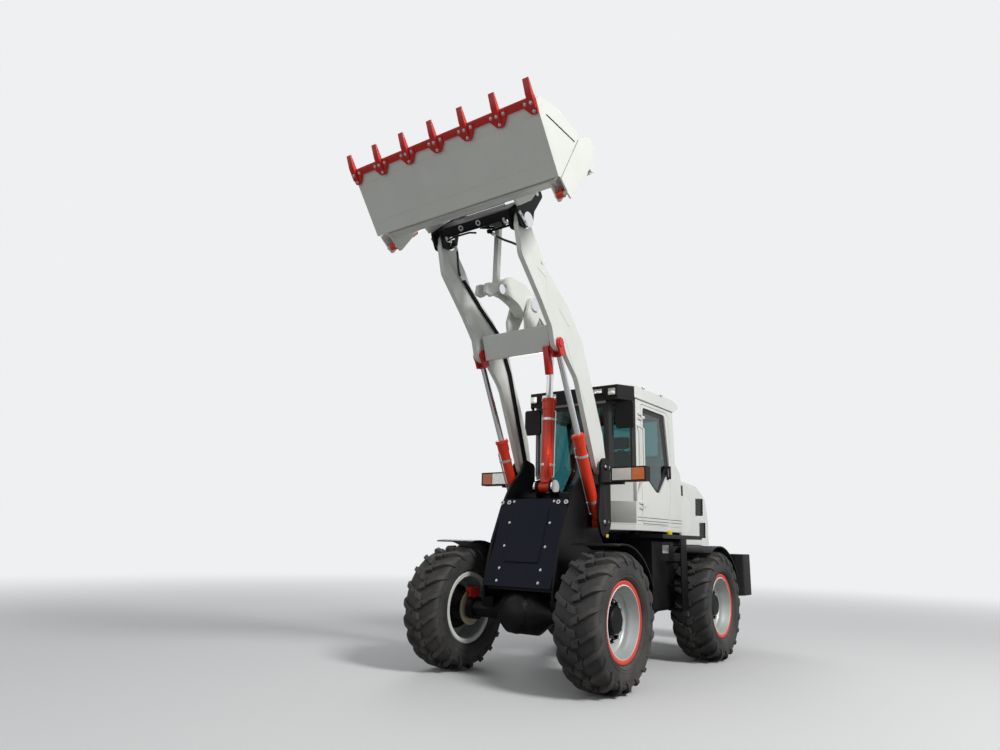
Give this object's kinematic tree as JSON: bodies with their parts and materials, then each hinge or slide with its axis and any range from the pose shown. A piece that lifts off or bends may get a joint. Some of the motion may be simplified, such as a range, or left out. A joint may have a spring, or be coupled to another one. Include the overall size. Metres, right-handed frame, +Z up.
{
  "type": "wheel loader",
  "caption": "Articulated wheel loader with a raised boom, a tilting bucket that opens as a clam, a glazed cab and a tilting engine hood.",
  "frame": {"origin": "on the ground below the steering pivot, which is midway between the axles", "axes": "+Z up, the bucket points to -Y, +X is the machine's left"},
  "size_m": [2.14, 5.674, 4.8265],
  "materials": {
    "white_paint": "satin",
    "black_paint": "satin",
    "navy_paint": "gloss",
    "red_paint": "satin",
    "orange_paint": "gloss",
    "rod_chrome": "polished",
    "glass": "tinted",
    "seat_fabric": "woven",
    "hose_rubber": "matte",
    "tyre": "matte",
    "rim_paint": "satin"
  },
  "bodies": {
    "root": {"rear_frame": "black_paint", "rear_axle": "black_paint", "engine": "black_paint", "counterweight": "black_paint", "deck": "black_paint", "tanks": "black_paint", "rear_fenders": "black_paint", "cab_floor": "white_paint", "cab_front": "white_paint", "cab_left": "white_paint", "cab_right": "white_paint", "cab_rear": "white_paint", "cab_roof": "white_paint", "cab_glass": "glass", "seat_base": "black_paint", "seat": "seat_fabric", "steering_column": "black_paint", "mirrors": "black_paint", "visor": "black_paint"},
    "front": {"front_frame": "black_paint", "front_axle": "black_paint", "cover_plate": "navy_paint", "front_fenders": "black_paint", "headlamps": "black_paint"},
    "door": {"door": "white_paint", "door_glass": "glass"},
    "hood": {"hood": "white_paint"},
    "boom": {"boom": "white_paint", "boom_pipes": "black_paint", "hose_left": "hose_rubber", "hose_right": "hose_rubber"},
    "tip_pins": {"tip_pins": "rod_chrome"},
    "tool": {"coupler": "black_paint", "back_blade": "white_paint"},
    "clam": {"clam": "white_paint", "teeth": "red_paint"},
    "clam_barrels": {"clam_barrels": "orange_paint"},
    "clam_rods": {"clam_rods": "rod_chrome"},
    "crank_pin": {"crank_pin": "rod_chrome"},
    "crank": {"crank": "white_paint"},
    "link_pin": {"link_pin": "rod_chrome"},
    "link": {"link": "white_paint"},
    "tilt_foot_pin": {"tilt_foot_pin": "rod_chrome"},
    "tilt_barrel": {"tilt_barrel": "orange_paint"},
    "tilt_rod": {"tilt_rod": "rod_chrome"},
    "lift_barrels": {"lift_barrels": "orange_paint"},
    "lift_rods": {"lift_rods": "rod_chrome"},
    "steer_barrel_left": {"steer_barrel_left": "orange_paint"},
    "steer_rod_left": {"steer_rod_left": "rod_chrome"},
    "steer_barrel_right": {"steer_barrel_right": "orange_paint"},
    "steer_rod_right": {"steer_rod_right": "rod_chrome"},
    "wheel_front_left": {"rim_front_left": "rim_paint", "tyre_front_left": "tyre"},
    "wheel_front_right": {"rim_front_right": "rim_paint", "tyre_front_right": "tyre"},
    "wheel_rear_left": {"rim_rear_left": "rim_paint", "tyre_rear_left": "tyre"},
    "wheel_rear_right": {"rim_rear_right": "rim_paint", "tyre_rear_right": "tyre"}
  },
  "joints": [
    {"name": "steering", "type": "hinge", "parent": "root", "child": "front", "pos_m": [0, 0, 0.785], "axis": [0, 0, -1], "range_deg": [-35, 35]},
    {"name": "boom_lift", "type": "hinge", "parent": "front", "child": "boom", "pos_m": [0, -0.589, 1.964], "axis": [-1, 0, 0], "range_deg": [-97, 0]},
    {"name": "bucket_tilt", "type": "hinge", "parent": "tip_pins", "child": "tool", "pos_m": [0, -2.002, 4.07], "axis": [1, 0, 0], "range_deg": [0, 95]},
    {"name": "clam_open", "type": "hinge", "parent": "tool", "child": "clam", "pos_m": [0, -1.82774, 4.62661], "axis": [-1, 0, 0], "range_deg": [0, 60]},
    {"name": "door_swing", "type": "hinge", "parent": "root", "child": "door", "pos_m": [0.644, 0.02, 2], "axis": [0, 0, -1], "range_deg": [0, 90]},
    {"name": "hood_lift", "type": "hinge", "parent": "root", "child": "hood", "pos_m": [0, 1.128, 1.986], "axis": [1, 0, 0], "range_deg": [0, 50]},
    {"name": "spin_front_left", "type": "hinge", "parent": "front", "child": "wheel_front_left", "pos_m": [0.836, -1.191, 0.585], "axis": [1, 0, 0], "continuous": true},
    {"name": "spin_front_right", "type": "hinge", "parent": "front", "child": "wheel_front_right", "pos_m": [-0.836, -1.191, 0.585], "axis": [1, 0, 0], "continuous": true},
    {"name": "spin_rear_left", "type": "hinge", "parent": "root", "child": "wheel_rear_left", "pos_m": [0.836, 1.191, 0.585], "axis": [1, 0, 0], "continuous": true},
    {"name": "spin_rear_right", "type": "hinge", "parent": "root", "child": "wheel_rear_right", "pos_m": [-0.836, 1.191, 0.585], "axis": [1, 0, 0], "continuous": true},
    {"name": "tip_pins_turn", "type": "hinge", "parent": "boom", "child": "tip_pins", "pos_m": [0, -2.002, 4.07], "axis": [1, 0, 0], "range_deg": [-87.01, 0]},
    {"name": "crank_pin_turn", "type": "hinge", "parent": "boom", "child": "crank_pin", "pos_m": [0, -1.29, 3.536], "axis": [1, 0, 0], "range_deg": [0, 53.97]},
    {"name": "link_pin_turn", "type": "hinge", "parent": "crank", "child": "link_pin", "pos_m": [0, -1.781, 3.559], "axis": [1, 0, 0], "range_deg": [-37.3, 0]},
    {"name": "tilt_foot_turn", "type": "hinge", "parent": "front", "child": "tilt_foot_pin", "pos_m": [0, -0.858, 1.762], "axis": [1, 0, 0], "range_deg": [0, 102.94]},
    {"name": "crank_turn", "type": "hinge", "parent": "crank_pin", "child": "crank", "pos_m": [0, -1.29, 3.536], "axis": [1, 0, 0], "range_deg": [-31.86, 0]},
    {"name": "link_turn", "type": "hinge", "parent": "link_pin", "child": "link", "pos_m": [0, -1.781, 3.559], "axis": [1, 0, 0], "range_deg": [0, 80.98]},
    {"name": "tilt_barrel_turn", "type": "hinge", "parent": "tilt_foot_pin", "child": "tilt_barrel", "pos_m": [0, -0.858, 1.762], "axis": [1, 0, 0], "range_deg": [0, 7.62]},
    {"name": "tilt_rod_slide", "type": "slide", "parent": "tilt_barrel", "child": "tilt_rod", "axis": [0, 0.0526, 0.9986], "range_m": [-0.23871, 0]},
    {"name": "lift_barrels_turn", "type": "hinge", "parent": "front", "child": "lift_barrels", "pos_m": [0, -0.614, 1.425], "axis": [1, 0, 0], "range_deg": [0, 87.54]},
    {"name": "lift_rods_slide", "type": "slide", "parent": "lift_barrels", "child": "lift_rods", "axis": [0, -0.4381, 0.8989], "range_m": [-0.7733, 0]},
    {"name": "clam_barrels_turn", "type": "hinge", "parent": "tool", "child": "clam_barrels", "pos_m": [0, -2.20206, 4.09594], "axis": [1, 0, 0], "range_deg": [0, 7.03]},
    {"name": "clam_rods_slide", "type": "slide", "parent": "clam_barrels", "child": "clam_rods", "axis": [0, 0.7353, 0.6777], "range_m": [-0.12078, 0]},
    {"name": "steer_barrel_turn_left", "type": "hinge", "parent": "root", "child": "steer_barrel_left", "pos_m": [0.3, 0.42, 0.8], "axis": [0, 0, -1], "range_deg": [-11.87, 11.87]},
    {"name": "steer_rod_slide_left", "type": "slide", "parent": "steer_barrel_left", "child": "steer_rod_left", "axis": [-0.053, -0.9986, 0], "range_m": [-0.1669, 0.1669]},
    {"name": "steer_barrel_turn_right", "type": "hinge", "parent": "root", "child": "steer_barrel_right", "pos_m": [-0.3, 0.42, 0.8], "axis": [0, 0, -1], "range_deg": [-11.87, 11.87]},
    {"name": "steer_rod_slide_right", "type": "slide", "parent": "steer_barrel_right", "child": "steer_rod_right", "axis": [0.053, -0.9986, 0], "range_m": [-0.1669, 0.1669]}
  ],
  "couplings": [
    {"joint": "tip_pins_turn", "follows": "boom_lift", "ratio": 0.89187},
    {"joint": "crank_pin_turn", "follows": "boom_lift", "ratio": -0.55125},
    {"joint": "link_pin_turn", "follows": "boom_lift", "ratio": 0.3794},
    {"joint": "tilt_foot_turn", "follows": "boom_lift", "ratio": -1.0561},
    {"joint": "crank_turn", "follows": "bucket_tilt", "ratio": -0.33012},
    {"joint": "link_turn", "follows": "bucket_tilt", "ratio": 0.84713},
    {"joint": "tilt_barrel_turn", "follows": "bucket_tilt", "ratio": 0.074929},
    {"joint": "tilt_rod_slide", "follows": "bucket_tilt", "m_per_rad": -0.14336},
    {"joint": "lift_barrels_turn", "follows": "boom_lift", "ratio": -0.89731},
    {"joint": "lift_rods_slide", "follows": "boom_lift", "m_per_rad": 0.45618},
    {"joint": "clam_barrels_turn", "follows": "clam_open", "ratio": 0.10886},
    {"joint": "clam_rods_slide", "follows": "clam_open", "m_per_rad": -0.11438},
    {"joint": "steer_barrel_turn_left", "follows": "steering", "ratio": 0.32475},
    {"joint": "steer_rod_slide_left", "follows": "steering", "m_per_rad": 0.27159},
    {"joint": "steer_barrel_turn_right", "follows": "steering", "ratio": 0.32475},
    {"joint": "steer_rod_slide_right", "follows": "steering", "m_per_rad": -0.27159}
  ]
}
